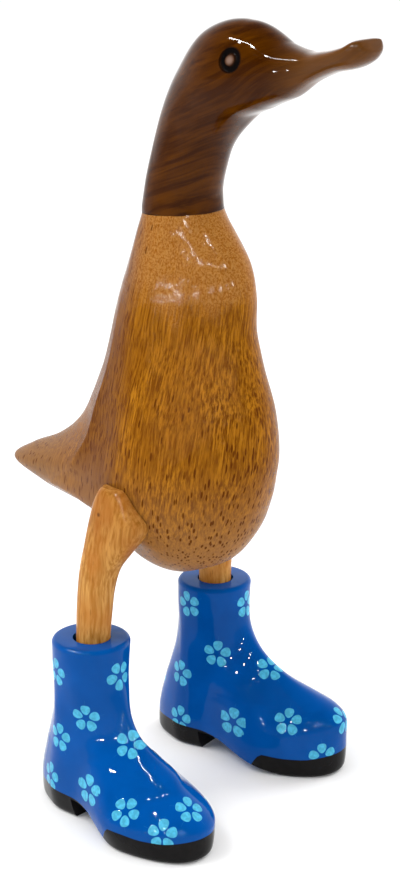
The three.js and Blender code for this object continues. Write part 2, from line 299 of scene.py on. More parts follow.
def shade_smooth(piece, sharp_angle):
    """Smooth shading that breaks at edges sharper than the angle in degrees."""
    piece.data.shade_smooth()
    piece.data.set_sharp_from_angle(angle=math.radians(sharp_angle))


def finish_piece(piece, node, material):
    """Gives the piece its material and sets it in the frame in place of its CAD node."""
    piece.data.name = piece.name
    piece.data.materials.clear()
    piece.data.materials.append(material)
    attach(piece, "root")
    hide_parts(node)


def hand_carved(rings, depth, wavelength):
    """Sinks each point a little towards its ring's middle, as gouge and sandpaper leave wood."""
    carved = []
    for ring in rings:
        middle = ring.mean(axis=0)
        out = ring - middle
        reach = np.linalg.norm(out, axis=1, keepdims=True)
        if len(ring) == 1 or reach.min() < SMALLEST_CARVED:
            carved.append(ring)
            continue
        wave = [noise.noise(Vector(p) / wavelength) for p in ring]
        sink = depth * (0.5 + 0.5 * np.array(wave))[:, None]
        carved.append(ring - out / reach * sink)
    return carved


# Materials

# The thin lacquer mirrors little when seen straight on. It lies thicker on head and boots.
LACQUER_IOR = 1.14
THICK_LACQUER_IOR = 1.17

# The pale wood of the eye's dot, and the painted highlight at its middle
EYE_DOT_AND_PAINTED_HIGHLIGHT = (0.2, 0.13, 0.1, 1)
BURNT_WOOD = (0.004, 0.003, 0.003, 1)
BARE_WOOD = (0.05, 0.02, 0.008, 1)
THIGH_TINT = (0.79, 0.7, 0.57, 1)
SOLE_BLACKS = (0.003, 0.003, 0.003, 1), (0.009, 0.008, 0.008, 1)
# Where the right thigh has a knot, on its outside, in millimetres
KNOT = (-36.4, -7.6, 114.8)


class Nodes:
    """Shader nodes. A socket takes a value or another node's output."""

    def __init__(self, tree):
        self.nodes = tree.nodes
        self.links = tree.links

    def plug(self, socket, value):
        if isinstance(value, bpy.types.NodeSocket):
            self.links.new(value, socket)
        elif value is not None:
            socket.default_value = value

    def add(self, kind, sockets=(), **settings):
        node = self.nodes.new("ShaderNode" + kind)
        for key, value in settings.items():
            setattr(node, key, value)
        for key, value in dict(sockets).items():
            self.plug(node.inputs[key], value)
        return node

    def axes(self, vector):
        """A place's values along X, Y and Z."""
        return self.add("SeparateXYZ", {0: vector}).outputs

    def math(self, operation, a, b=None, c=None):
        """A Math node."""
        return self.add("Math", {0: a, 1: b, 2: c}, operation=operation).outputs[0]

    def times(self, a, b):
        return self.math("MULTIPLY", a, b)

    def plus(self, a, b):
        return self.math("ADD", a, b)

    def minus(self, a, b):
        return self.math("SUBTRACT", a, b)

    def diagonal(self, a, b):
        """How long the line is that goes a along one axis and b along another."""
        return self.math("SQRT", self.plus(self.times(a, a), self.times(b, b)))

    def vector(self, operation, a, b=None, factor=None, output="Vector"):
        """A Vector Math node."""
        node = self.add("VectorMath", {0: a, 1: b, 3: factor}, operation=operation)
        return node.outputs[output]

    def step(self, value, low, high, start=0.0, end=1.0):
        """Goes smoothly from start to end as value goes from low to high."""
        names = ("Value", "From Min", "From Max", "To Min", "To Max")
        sockets = zip(names, (value, low, high, start, end))
        return self.add("MapRange", sockets, interpolation_type="SMOOTHSTEP").outputs["Result"]

    def mix(self, amount, a, b, blend="MIX"):
        """A colour between a and b."""
        node = self.add("Mix", {0: amount, 6: a, 7: b}, data_type="RGBA", blend_type=blend)
        return node.outputs[2]


class Finish(Nodes):
    """The nodes of one material."""

    def __init__(self, name, tone=(1, 1, 1)):
        self.tone = tone
        self.material = bpy.data.materials.new(name)
        self.material.use_nodes = True
        super().__init__(self.material.node_tree)
        self.shader = self.nodes["Principled BSDF"]
        self.place = self.add("TexCoord").outputs["Object"]

    def shade(self, *factors):
        """The material's colour, its channels times one factor or three, and full opacity."""
        red, green, blue = factors * 3 if len(factors) == 1 else factors
        return (self.tone[0] * red, self.tone[1] * green, self.tone[2] * blue, 1.0)

    def over(self, color, amount, *factors):
        """The colour with some of another shade laid over it."""
        return self.mix(amount, color, self.shade(*factors))

    def stretched(self, along, turn=0.0, lean=0.0, across=1.0):
        """The place on the object, drawn out `along` times in the direction of the grain.

        Unturned, the grain is vertical. `turn` tips it forward and `lean` sideways, in degrees.
        Growth rings also reach `across` the piece from side to side.
        """
        sockets = {
            "Vector": self.place,
            "Rotation": (math.radians(turn), math.radians(lean), 0),
            "Scale": (across, 1, along),
        }
        return self.add("Mapping", sockets, vector_type="TEXTURE").outputs["Vector"]

    def fanned(self, vector, height):
        """Draws the grain together from the full belly up to the neck."""
        width = self.step(height, 0.1, 0.23, 1.0, 0.8)
        shrink = self.math("DIVIDE", 1.0, width)
        scale = self.add("CombineXYZ", {0: shrink, 1: shrink, 2: 1.0}).outputs[0]
        return self.vector("MULTIPLY", vector, scale)

    def noise(self, vector, size, detail=3.0, roughness=0.5):
        """Cloudy values about 0.5, with features of that size in millimetres."""
        sockets = {"Vector": vector, "Scale": 1 / (size * MM), "Detail": detail}
        return self.add("TexNoise", sockets | {"Roughness": roughness}).outputs["Fac"]

    def specks(self, vector, spacing):
        """The distance to the nearest of scattered points, and that point's own colour."""
        return self.add("TexVoronoi", {"Vector": vector, "Scale": 1 / (spacing * MM)}).outputs

    def offset(self, vector, amount, size):
        """Bends a place by a cloudy amount in millimetres, so that lines drawn from it wander."""
        sockets = {"Vector": self.place, "Scale": 1 / (size * MM), "Detail": 0.0}
        cloud = self.add("TexNoise", sockets)
        centred = self.vector("SUBTRACT", cloud.outputs["Color"], (0.5, 0.5, 0.5))
        scaled = self.vector("SCALE", centred, factor=2 * amount * MM)
        return self.vector("ADD", vector, scaled)

    def bump(self, height, depth, normal=None):
        """A relief of that depth in millimetres."""
        sockets = {"Height": height, "Distance": depth * MM, "Normal": normal}
        return self.add("Bump", sockets).outputs["Normal"]

    def attribute(self, name):
        return self.add("Attribute", attribute_name=name).outputs

    def done(
        self,
        color,
        roughness,
        normal,
        coat=1.0,
        coat_roughness=0.04,
        coat_normal=None,
        ior=LACQUER_IOR,
    ):
        """Ends the nodes in a lacquered surface."""
        sockets = self.shader.inputs
        self.plug(sockets["Base Color"], color)
        self.plug(sockets["Roughness"], roughness)
        self.plug(sockets["Normal"], normal)
        sockets["Specular IOR Level"].default_value = 0
        self.plug(sockets["Coat Weight"], coat)
        sockets["Coat Roughness"].default_value = coat_roughness
        sockets["Coat IOR"].default_value = ior
        self.plug(sockets["Coat Normal"], coat_normal or normal)
        return self.material


def dark_wood(settings):
    """Dark lacquered wood, its streaks running towards the bill, with the eye's burnt ring and a
    painted highlight on its dot.
    """
    wood = Finish("dark_lacquered_wood", settings.head_color)
    band = wood.noise(wood.offset(wood.stretched(6, 65, across=2), 6, 38), 8, 2)
    streaks = wood.noise(wood.offset(wood.stretched(30, 65, across=7), 5, 32), 2, 2, 0.5)
    fibres = wood.noise(wood.offset(wood.stretched(40, 65, across=5), 4, 32), 0.6, 2, 0.6)
    axes = wood.axes(wood.place)
    bill = wood.step(axes[1], -0.062, -0.044, 1, 0)
    streak = wood.step(streaks, 0.34, 0.66)
    color = wood.mix(streak, wood.shade(0.6, 0.5, 0.5), wood.shade(1.4))
    color = wood.over(color, wood.step(band, 0.38, 0.6, 0.55, 0), 0.62, 0.5, 0.4)
    color = wood.over(color, wood.step(fibres, 0.45, 0.7, 0, 0.22), 1.9, 2.1, 2.1)
    color = wood.over(color, wood.times(bill, 0.5), 2.8, 4, 50)
    # The eye's ring is burnt black, around a dot of pale wood whose paler middle, fading to its
    # edge, is a painted highlight.
    eye_y, eye_z = ((np.array([0, EYE["y"], EYE["z"]]) + origin()) * MM)[1:]
    distance = wood.diagonal(wood.minus(axes[1], eye_y), wood.minus(axes[2], eye_z))
    ring, groove = settings.eye_radius, settings.eye_groove
    outer = wood.step(distance, ring + groove * 0.55, ring + groove * 1.35, 1, 0)
    inner = wood.step(distance, ring - groove * 1.6, ring - groove * 0.5)
    # Painted highlight: the dot is palest in its middle and fades towards its edge.
    dot_and_painted_highlight = wood.step(distance, ring * 0.1, ring * 0.7, 0.9, 0)
    color = wood.mix(dot_and_painted_highlight, color, EYE_DOT_AND_PAINTED_HIGHLIGHT)
    burnt = wood.times(outer, inner)
    color = wood.mix(burnt, color, BURNT_WOOD)
    relief = wood.bump(streaks, 0.03)
    waves = wood.bump(wood.noise(wood.place, 9, 1), 0.12)
    polish = wood.step(streaks, 0.2, 0.8, 0.42, 0.3)
    roughness = wood.math("MAXIMUM", polish, wood.times(burnt, 0.8))
    coat = wood.minus(1, wood.times(burnt, 0.9))
    return wood.done(color, roughness, relief, coat, coat_normal=waves, ior=THICK_LACQUER_IOR)


def golden_wood(settings):
    """Golden lacquered wood. Its dark upright fibres are dashes on the sides and dots below."""
    wood = Finish("golden_lacquered_wood", settings.body_color)
    light, shadow = wood.shade(1.8, 2.15, 2.6), wood.shade(0.5, 0.4, 0.25)
    fibre = wood.shade(0.36, 0.24, 0.2)
    across, depth, height = wood.axes(wood.place)
    wander = wood.times(wood.minus(wood.noise(wood.place, 11, 2), 0.5), 0.03)
    chest = wood.step(wood.plus(height, wander), 0.181, 0.2)
    low = wood.step(height, 0.105, 0.185, 1, 0)
    # The breast and the flank behind have the most dark fibres.
    front = wood.step(wood.plus(depth, wood.times(across, -0.87)), -0.03, 0.015, 1, 0)
    rear = wood.times(wood.step(depth, -0.006, 0.01), wood.step(depth, 0.02, 0.045, 1, 0.35))

    def grain(along, sway, size):
        """The fibres spread from the neck over the belly, and lean a little."""
        return wood.offset(wood.fanned(wood.stretched(along, turn=4, lean=4), height), sway, size)

    cells = wood.specks(grain(4.5, 0.7, 20), 1.25)
    pick = wood.add("SeparateColor", {0: cells["Color"]}).outputs[0]
    density = wood.times(wood.plus(0.5, wood.times(front, 0.55)), low)
    density = wood.math("MAXIMUM", density, wood.times(rear, 0.8))
    shown = wood.step(wood.minus(density, pick), -0.05, 0.1)
    dash = wood.times(wood.step(cells["Distance"], 0.24, 0.4, 1, 0), shown)
    speck = wood.step(wood.specks(grain(4, 0.5, 12), 0.75)["Distance"], 0.12, 0.42, 1, 0)
    streaks = wood.noise(grain(13, 0.8, 16), 0.75, 3, 0.7)
    broad = wood.noise(grain(5, 2, 20), 3.2, 2)
    mottle = wood.noise(wood.offset(wood.stretched(1.4), 0.6, 4), 0.6, 3, 0.7)
    cloud = wood.noise(wood.stretched(2), 13, 2)
    color = wood.mix(wood.step(streaks, 0.36, 0.64), shadow, light)
    color = wood.over(color, wood.step(broad, 0.35, 0.65, 0.35, 0), 0.7, 0.62, 0.5)
    color = wood.over(color, wood.step(cloud, 0.35, 0.65, 0, 0.4), 0.8)
    mottle = wood.step(mottle, 0.34, 0.64)
    mottled = wood.mix(mottle, wood.shade(1.05, 0.95, 2), wood.shade(1.75, 2.5, 15))
    color = wood.mix(wood.times(chest, 0.85), color, mottled)
    speck = wood.times(speck, wood.step(low, 0, 1, 0.2, 0.4))
    color = wood.over(color, speck, 0.5, 0.4, 0.3)
    color = wood.over(color, wood.times(rear, 0.6), 0.42, 0.36, 1)
    # Painted reflection of the pale floor: the body is paler and greyer towards its bottom.
    color = wood.over(color, wood.step(height, 0.088, 0.14, 0.65, 0), 1.4, 2.1, 18)
    # Painted reflection of the pale room: the tail is paler and greyer than the rest of the body.
    color = wood.over(color, wood.step(depth, 0.03, 0.06, 0, 0.45), 0.85, 1.4, 16)
    color = wood.mix(wood.times(dash, 0.9), color, fibre)
    relief = wood.bump(streaks, 0.05)
    # The chest is smooth but uneven. Below it the open grain soaks up and blurs the lacquer.
    uneven = wood.bump(wood.noise(wood.place, 5, 1), 0.18)
    uneven = wood.bump(wood.noise(wood.stretched(1.6), 1.2, 2), 0.05, uneven)
    open_grain = wood.noise(wood.stretched(3), 0.3, 1)
    ripples = wood.bump(wood.times(open_grain, wood.minus(1, chest)), 0.14, uneven)
    coat = wood.step(chest, 0, 1, 0.6, 1)
    return wood.done(color, 0.4, relief, coat, coat_roughness=0.1, coat_normal=ripples)


def honey_wood(settings):
    """Pale lacquered wood of the legs, with faint upright streaks, pores and one knot."""
    wood = Finish("honey_lacquered_wood", settings.leg_color)
    streaks = wood.noise(wood.offset(wood.stretched(16), 0.8, 12), 1.1, 3, 0.6)
    cloud = wood.noise(wood.stretched(2), 8, 2)
    streak = wood.step(streaks, 0.34, 0.66)
    color = wood.mix(streak, wood.shade(0.74, 0.64, 0.46), wood.shade(1.2, 1.28, 1.5))
    color = wood.over(color, wood.step(cloud, 0.42, 0.66, 0, 0.6), 0.85, 0.62, 0.4)
    # The thighs are redder than the shins, and one has a dark knot.
    height = wood.axes(wood.place)[2]
    color = wood.mix(wood.step(height, 0.085, 0.115), color, THIGH_TINT, "MULTIPLY")
    middle = tuple((np.array(KNOT) + origin()) * MM)
    apart = wood.vector("DISTANCE", wood.place, middle, output="Value")
    knot = wood.step(apart, 0.0003, 0.0011, 0.85, 0)
    color = wood.over(color, knot, 0.2, 0.12, 0.1)
    pores = wood.specks(wood.stretched(6), 1.6)
    dark = wood.step(pores["Distance"], 0.06, 0.2, 0.5, 0)
    color = wood.over(color, dark, 0.4, 0.3, 0.2)
    relief = wood.bump(streaks, 0.04)
    waves = wood.bump(wood.noise(wood.place, 5, 1), 0.12)
    return wood.done(color, 0.4, relief, coat_roughness=0.07, coat_normal=waves)


def boot_paint(settings):
    """Gloss blue paint with pale dabbed flowers, and a satin black sole and heel."""
    paint = Finish("gloss_boot_paint", settings.boot_color)
    flower = paint.add("UVMap", uv_map="flowers").outputs[0]
    axes = paint.axes(flower)
    reach = paint.diagonal(axes[0], axes[1])
    angle = paint.math("ARCTAN2", axes[0], axes[1])
    fifth = math.tau / 5
    # The angle from the middle of the nearest petal
    turned = paint.math("WRAP", angle, fifth / 2, -fifth / 2)
    out = paint.times(reach, paint.math("COSINE", turned))
    side = paint.math("ABSOLUTE", paint.times(reach, paint.math("SINE", turned)))
    along = paint.math("DIVIDE", paint.minus(out, 0.24), 0.76)
    inside = paint.math("MAXIMUM", along, 0.0)
    rest = paint.math("MAXIMUM", paint.minus(1, inside), 0.0)
    half = paint.times(paint.math("POWER", inside, 0.6), paint.math("POWER", rest, 0.35))
    petal = paint.step(paint.minus(paint.times(half, 0.66), side), -0.02, 0.05)
    petal = paint.times(petal, paint.step(inside, 0.0, 0.04))
    cloud = paint.noise(paint.place, 1.4, 2)
    patches = paint.step(paint.noise(paint.place, 12, 2), 0.3, 0.7)
    base = paint.mix(patches, paint.shade(0.86), paint.shade(1))
    thin, thick = ([*np.array(settings.flower_color) * factor, 1] for factor in (0.8, 1.1))
    pale = paint.mix(paint.step(cloud, 0.35, 0.7), thin, thick)
    color = paint.mix(petal, base, pale)
    sole = paint.step(paint.attribute("sole")["Fac"], -0.12, 0.12)
    black = paint.mix(paint.noise(paint.place, 2.5, 3), *SOLE_BLACKS)
    color = paint.mix(sole, color, black)
    bore = paint.step(paint.attribute("bore")["Fac"], 0.2, 0.8)
    color = paint.mix(bore, color, BARE_WOOD)
    roughness = paint.step(sole, 0, 1, 0.25, 0.4)
    brushed = paint.bump(paint.noise(paint.place, 6, 1), 0.1)
    relief = paint.bump(petal, 0.03, brushed)
    return paint.done(color, roughness, relief, coat_roughness=0.02, ior=THICK_LACQUER_IOR)


# Body and tail

# Ribs from the lowest point of the belly to the neck joint. Each has four points of half
# a section: the breast on the middle plane, the side, the ridge that borders the back, and
# the back itself on the middle plane. Its edge says how sharp the ridge is and how blunt
# the back.
BELLY_TIP = (-15, 86.3)
RIBS = table(
    "breast side ridge back edge",
    ((-22.5, 88), (8, -19.5, 88), (8.5, -10, 89), (-3.5, 88.5), (0, 1)),
    ((-36, 94), (16.5, -23.5, 93.5), (15.5, -4, 95), (9, 93.5), (0, 1)),
    ((-44, 104), (25, -24, 103), (15, 9, 106.5), (26.5, 100), (0, 1)),
    ((-48.5, 115), (29, -24, 113), (14, 38, 110), (53, 105), (0.4, 0.8)),
    ((-51.5, 126), (30, -24, 124), (17.5, 29.5, 117), (70, 112), (0.9, 0.7)),
    ((-53, 134), (30, -24, 132), (20.5, 22.5, 122.5), (61, 119), (1.2, 0.5)),
    ((-53, 142), (29, -24, 140), (22.5, 16.5, 129), (46, 126), (1.3, 0.5)),
    ((-51.5, 152), (27.5, -23, 150), (23, 11, 137), (33.5, 136), (1.2, 0.6)),
    ((-48, 164), (25, -21, 162), (22.5, 6.5, 150), (24, 150.5), (0.8, 0.8)),
    ((-45, 178), (22, -20, 176), (20.5, 2, 165.5), (16, 166.5), (0.4, 1)),
    ((-45, 192), (20.5, -20, 190), (17.5, -0.5, 184), (10, 187.5), (0.1, 1)),
    ((-41.5, 204.5), (17.5, -21, 203.5), (15, -4, 201), (4, 202.5), (0, 1)),
)


def neck_rib():
    """The top rib is the round face that the neck is glued to. It rises towards the breast."""
    y, z, radius, slope = NECK_JOINT.values()

    def level(offset):
        return (y + offset, z - slope * offset)

    half, wide = radius / 2, radius * math.cos(math.pi / 6)
    return {
        "breast": level(-radius),
        "side": (wide, *level(-half)),
        "ridge": (wide, *level(half)),
        "back": level(radius),
        "edge": (0, 1),
    }


def body_rings():
    ribs = [*RIBS, neck_rib()]
    tip = (0, *BELLY_TIP)
    guides = []
    for part in ("breast", "side", "ridge", "back"):
        rows = [tip, *[rib[part] if len(rib[part]) == 3 else (0, *rib[part]) for rib in ribs]]
        # The belly runs level through its lowest point.
        before = (2 * rows[0][0] - rows[1][0], 2 * rows[0][1] - rows[1][1], rows[1][2])
        guides.append((rows, before))
    edges = [(0, 1), *[rib["edge"] for rib in ribs]]
    rings = [np.array([tip], float)]
    for row in range(1, len(ribs) * BODY_ROWS_PER_RIB + 1):
        at = row / BODY_ROWS_PER_RIB
        corners = [between(rows, at, before) for rows, before in guides]
        crease, blunt = between(edges, at)
        rings.append(mirrored(half_outline(corners, BODY_SIDE_STEPS, crease, blunt)))
    return rings


# Head, neck and bill

# Stations from the neck joint to the end of the bill: the middle of the section, its half
# width, its reach to the back or crown, its reach to the throat or chin, and how square it
# is above and below the middle, where 2 is round.
STATIONS = table(
    "at half crown throat square",
    ((-16.5, 228), 13.5, 14, 13, (2, 2)),
    ((-18.8, 237.5), 13, 13.7, 12.9, (2, 2.1)),
    ((-23, 247.5), 12.5, 15, 12.8, (2, 2.2)),
    ((-29.5, 256.8), 13.4, 16.9, 13.2, (2, 2.4)),
    ((-38.5, 264), 14.5, 19.9, 12.6, (2, 2.6)),
    ((-49.5, 268), 13.4, 17.2, 12, (2, 2.7)),
    ((-61, 269.8), 10.5, 8.8, 9.3, (2.1, 2.8)),
    ((-70.5, 271.5), 7.5, 5, 5, (2.4, 2.7)),
    ((-79, 274.5), 8, 3, 4.5, (2.5, 2.4)),
    ((-87, 277.5), 9, 2.1, 5.5, (2.6, 2.2)),
    ((-91, 279.8), 8.2, 1.8, 5.2, (2.6, 2.2)),
    ((-93, 281), 6, 0.8, 3.6, (2.4, 2.2)),
)
BILL_ROUNDING = 0.8
# How much of that rounding the top and bottom of the bill get
BILL_ROUNDING_UPWARD = 0.7
# How far to either side of a section its direction is measured, in stations
HEADING_REACH = 0.05


def head_rings():
    neck_y, neck_z, radius, slope = NECK_JOINT.values()
    spine = [(neck_y, neck_z + GLUE_GAP), *[station["at"] for station in STATIONS]]
    sizes = [(radius, radius, radius, 2, 2)]
    sizes += [(s["half"], s["crown"], s["throat"], *s["square"]) for s in STATIONS]
    last = len(STATIONS)
    cosine, sine = np.cos(circle(HEAD_SIDES)), np.sin(circle(HEAD_SIDES))
    rings = []
    for row in range(last * HEAD_ROWS_PER_STATION + 1):
        at = row / HEAD_ROWS_PER_STATION
        middle = between(spine, at)
        ahead, behind = min(at + HEADING_REACH, last), max(at - HEADING_REACH, 0)
        forward = between(spine, ahead) - between(spine, behind)
        if row == 0:
            forward = np.array([slope, 1.0])
        forward = unit(forward)
        half, crown, throat, above, below = between(sizes, at)
        # The end of the bill is rounded over.
        left = np.linalg.norm(between(spine, last) - middle)
        inset = BILL_ROUNDING * (1 - math.sqrt(1 - max(0, 1 - left / BILL_ROUNDING) ** 2))
        square = np.where(sine > 0, above, below)
        across = squared(cosine, square) * (half - inset)
        height = np.where(sine > 0, crown, throat) - inset * BILL_ROUNDING_UPWARD
        upward = squared(sine, square) * height
        y, z = middle[0] + upward * forward[1], middle[1] - upward * forward[0]
        rings.append(np.stack([across, y, z], axis=1))
    return rings


def eye_cutter(side, radius, groove):
    """The ring drilled for an eye leaves a round dot of wood in its middle."""
    tilt = math.radians(EYE["tilt"])
    # The ring's axis points out of the head, square to the cheek.
    axis = np.array([math.cos(tilt), 0, math.sin(tilt)]) * [side, 0, 1]
    across, upward = np.array([0, 1.0, 0]), np.cross(axis, [0, 1.0, 0])
    middle = np.array([side * EYE["x"], EYE["y"], EYE["z"]])
    tube = circle(EYE_GROOVE_SIDES)
    rings = []
    for turn in circle(EYE_RING_SIDES):
        out = across * math.cos(turn) + upward * math.sin(turn)
        reach = radius + groove * np.cos(tube)
        rings.append(middle + out * reach[:, None] + axis * (groove * np.sin(tube))[:, None])
    return rings


# Legs

# Level sections from the foot of the leg, in its boot, to the cut top of the thigh. The
# middle is a distance out from the duck's middle plane, and the front and back edges are
# measured from the middle of the boot's hole.
LEG_LEVELS = table(
    "z out half front back square",
    (42.3, 36, 6, -6, 6, 2),
    (55, 36, 6.1, -6.2, 6, 2),
    (67, 35.8, 6.2, -6.5, 5.9, 2),
    (77, 35.4, 6.3, -7.2, 5.8, 2.1),
    (86, 34.8, 6.4, -8, 5.4, 2.2),
    (94, 33.8, 6.5, -10, 4.9, 2.4),
    (101, 32.4, 6.6, -14.6, 4.2, 2.7),
    (107, 31.2, 6.6, -19, 3.6, 3),
    (112.5, 30.4, 6.5, -21, 2.8, 3),
    (118, 29.7, 6.2, -16.8, 1.4, 3),
    (122.4, 29.2, 5.8, -13.4, -0.8, 3),
    (124, 28.8, 4.8, -11.6, -2, 2.8),
)


def leg_rings(side, hole_y):
    rows = [list(level.values()) for level in LEG_LEVELS]
    angles = circle(LEG_SIDES) * side
    rings = []
    for row in range((len(rows) - 1) * LEG_ROWS_PER_LEVEL + 1):
        z, out, half, front, back, square = between(rows, row / LEG_ROWS_PER_LEVEL)
        x = (out + squared(np.cos(angles), square) * half) * side
        y = (front + back) / 2 + squared(np.sin(angles), square) * (back - front) / 2 + hole_y
        rings.append(level_ring(x, y, z))
    return rings


# Boots

# Level outlines from the sole to under the rim. The toe points along +Y here and is turned
# later: height, back of the heel, heel side, waist, ball side, tip of the toe, and how blunt
# the toe is.
BOOT_LEVELS = table(
    "z heel side waist ball toe blunt",
    (0, -23, (11.4, -9), (11.4, 8), (16.2, 36), 57.4, 1),
    (2, -23.8, (12.8, -9), (12.8, 8), (17.6, 36), 59.6, 1),
    (9, -23.6, (13.8, -9), (14.8, 8), (19.4, 36), 60, 1),
    (15, -22.6, (13.4, -9), (14.6, 8), (18.8, 35.5), 59.8, 1),
    (21, -21, (12.8, -8.5), (13.6, 8), (17, 33.5), 59, 0.9),
    (24.5, -20, (12.5, -8.2), (12.8, 7.5), (14.6, 30), 55.6, 0.9),
    (27, -19.2, (12.2, -8), (12.4, 6.5), (12.4, 26), 50.6, 0.8),
    (33, -17.2, (12, -7.5), (12, 4), (9.6, 18.5), 35, 0.5),
    (40, -15.2, (11.8, -7), (12.2, 1.8), (9.8, 11.5), 23.6, 0.6),
    (49, -14, (11.2, -7.4), (13, 1), (10.6, 9.4), 17, 0.8),
    (58, -13.5, (10.6, -8.6), (13.8, 0.8), (10.6, 9.8), 15.2, 1),
)

# Middles of the flowers on a boot whose toe points along +Y, the turn of each in degrees,
# and for some how many times as wide as high they are
FLOWERS = {
    "right": [
        (13.1, -3.3, 56.5, 10), (-0.8, 15.3, 56.2, -25), (9.7, 8.5, 40.5, 0),
        (12.7, -3.2, 30.6, 5), (3.4, 24.2, 34, 10), (13.3, -7.6, 13.5, 5),
        (15, 15.2, 16.7, -10, 1.4), (15.3, 35.5, 16.5, 20), (0.7, 52, 17.3, 25),
        (12.2, 50.9, 12.4, 0), (-13.5, 3, 47, 20), (-12, -6, 27, -15), (-10.5, 12, 34, 30),
        (-14.5, 16, 15, 5), (-17, 33.5, 12, -20), (-14.5, 46.5, 9.5, 12), (3, -13.2, 45, 18),
        (-5, -14.5, 59.5, -8), (2, -20, 22, 30), (-11, -17, 12, 0),
    ],
    "left": [
        (13.8, -1.8, 59.5, -15), (-0.6, 15.2, 59, 12), (10.6, 9.5, 41.2, 5),
        (13.3, -6, 29.9, 8), (1.8, 28.2, 36.3, 20), (15.8, -4.6, 11.3, 6),
        (18.1, 21.6, 18.2, -5, 1.5), (13, 43.8, 22.9, 0), (-2.5, 58.5, 21.5, 10),
        (8.6, 56.4, 9.8, -4), (-13.8, 2, 48, 25), (-12.5, -5, 29, -12), (-9.8, 14, 36, 33),
        (-16, 14, 14, 7), (-17.5, 38, 18, -18), (-11, 54, 12, 10), (2, -13.5, 47, 15),
        (-6, -14.2, 61, -5), (3, -21, 23, 28), (-12, -17, 12.5, 3),
    ],
}

# The levels between which the boots' insteps differ: from none to all of it, and back
INSTEP_LEVELS = (11, 23, 30, 50)

# The black of the heel and sole: its height at the heel and the toe, by how much it changes
# between two places along the boot, where the heel's ends and the toe's begins, and the
# least height that is black all round.
BAND = {
    "heel": 9.1,
    "heel_back": (1.6, 8, 24),
    "heel_front": (0.6, 4, 13),
    "heel_end": (12.5, 15),
    "toe": 8.3,
    "toe_waist": (0.8, 34, 44),
    "toe_tip": (1.2, 50, 60),
    "toe_start": (-4, 5),
    "least": 0.6,
}
# How far from the band's edge its height is still written, in millimetres
BAND_REACH = 3

# The bare wood in the hole: how near the hole's wall it counts, its lowest level, and the
# levels between which the paint of the rim reaches into the hole
BORE = {"reach": 0.05, "lowest": 10, "paint": (62, 66)}

# How near a flower's middle a face counts as its own, and the place of all other faces on
# the drawing of a flower, both in flower radii
FLOWER_REACH = 1.35
NO_FLOWER = 9.0


def rim_level():
    """The rim is round."""
    y, r, diagonal = RING_FORWARD, RING_RADIUS, RING_RADIUS * math.sqrt(0.5)
    return {
        "z": BOOT_HEIGHT - RIM_ROUNDING,
        "heel": y - r,
        "side": (diagonal, y - diagonal),
        "waist": (r, y),
        "ball": (diagonal, y + diagonal),
        "toe": y + r,
        "blunt": 1,
    }


def boot_rings(carving):
    rows = []
    for level in [*BOOT_LEVELS, rim_level()]:
        z, heel, side, waist, ball, toe, blunt = level.values()
        rows.append((z, heel, *side, *waist, *ball, toe, blunt))
    rings = []
    for row in range((len(rows) - 1) * BOOT_ROWS_PER_LEVEL + 1):
        z, heel, sx, sy, wx, wy, bx, by, toe, blunt = between(rows, row / BOOT_ROWS_PER_LEVEL)
        # The two boots differ below the rim, and most over the instep.
        rise = z / BOOT_HEIGHT
        shares = (carving[part] for part in ("heel", "ball", "length"))
        narrow, wide, long = (share + (1 - share) * rise for share in shares)
        low, full, still_full, high = INSTEP_LEVELS
        over = smoothstep(z, low, full) * (1 - smoothstep(z, still_full, high))
        slim = 1 + (carving["instep"] - 1) * over
        wide, long = wide * slim, long * slim
        side, waist, ball = (sx * narrow, sy, z), (wx * narrow, wy, z), (bx * wide, by * long, z)
        corners = [(0, heel, z), side, waist, ball, (0, toe * long, z)]
        rings.append(mirrored(half_outline(corners, BOOT_SIDE_STEPS, 0, blunt)))
    rim = rings[-1]
    middle = np.array([0, RING_FORWARD, rim[0][2]])
    for angle in np.radians(np.arange(1, RIM_STEPS + 1) * 90 / RIM_STEPS):
        inset = RIM_ROUNDING * (1 - math.cos(angle)) / RING_RADIUS
        ring = rim + (middle - rim) * inset
        rings.append(ring + [0, 0, RIM_ROUNDING * math.sin(angle)])
    return rings


def arch_rings(end):
    """The hollow under the instep, between the heel block and the ball of the foot."""
    start, bend, rise = ARCH.values()
    ease_in, ease_out, below, reach = ARCH_CUTTER.values()
    t = np.linspace(0, 1, ARCH_STEPS + 1)[:, None]
    corners = [(bend, rise), (bend + ease_in, rise), (end - ease_out, 0), (end, 0)]
    slope = arc(t, *[np.array(corner) for corner in corners])
    side = np.concatenate([[(end, -below), (start, -below), (start, rise)], slope])
    return [np.insert(side, 0, x, axis=1) for x in (-reach, reach)]


def hole_rings():
    angles = circle(HOLE_SIDES)
    x, y = HOLE["radius"] * np.cos(angles), HOLE["forward"] + HOLE["radius"] * np.sin(angles)
    return [level_ring(x, y, z) for z in (HOLE["floor"], BOOT_HEIGHT + HOLE["above"])]


def boot_turn(side, name):
    """The turn of a boot from its own drawing to the floor, and where its middle stands."""
    angle = math.pi + math.radians(BOOT_CARVING[name]["splay"]) * side
    c, s = math.cos(angle), math.sin(angle)
    middle = np.array([BOOT_SPREAD, BOOT_STAGGER, 0]) * side
    return np.array([[c, -s, 0], [s, c, 0], [0, 0, 1]]), middle


def band_height(y, start):
    """How high the black of the heel and sole reaches, along the boot."""
    names = ("heel_back", "heel_front", "toe_waist", "toe_tip")
    back, front, waist, tip = (BAND[name] for name in names)
    heel = BAND["heel"] - back[0] * smoothstep(-y, *back[1:])
    heel = heel - front[0] * smoothstep(y, *front[1:])
    heel = heel * (1 - smoothstep(y, *BAND["heel_end"]))
    toe = BAND["toe"] + waist[0] * (1 - smoothstep(y, *waist[1:]))
    toe = toe + tip[0] * smoothstep(y, *tip[1:])
    low, high = BAND["toe_start"]
    toe = toe * smoothstep(y, start + low, start + high)
    return np.maximum(np.maximum(heel, toe), BAND["least"])


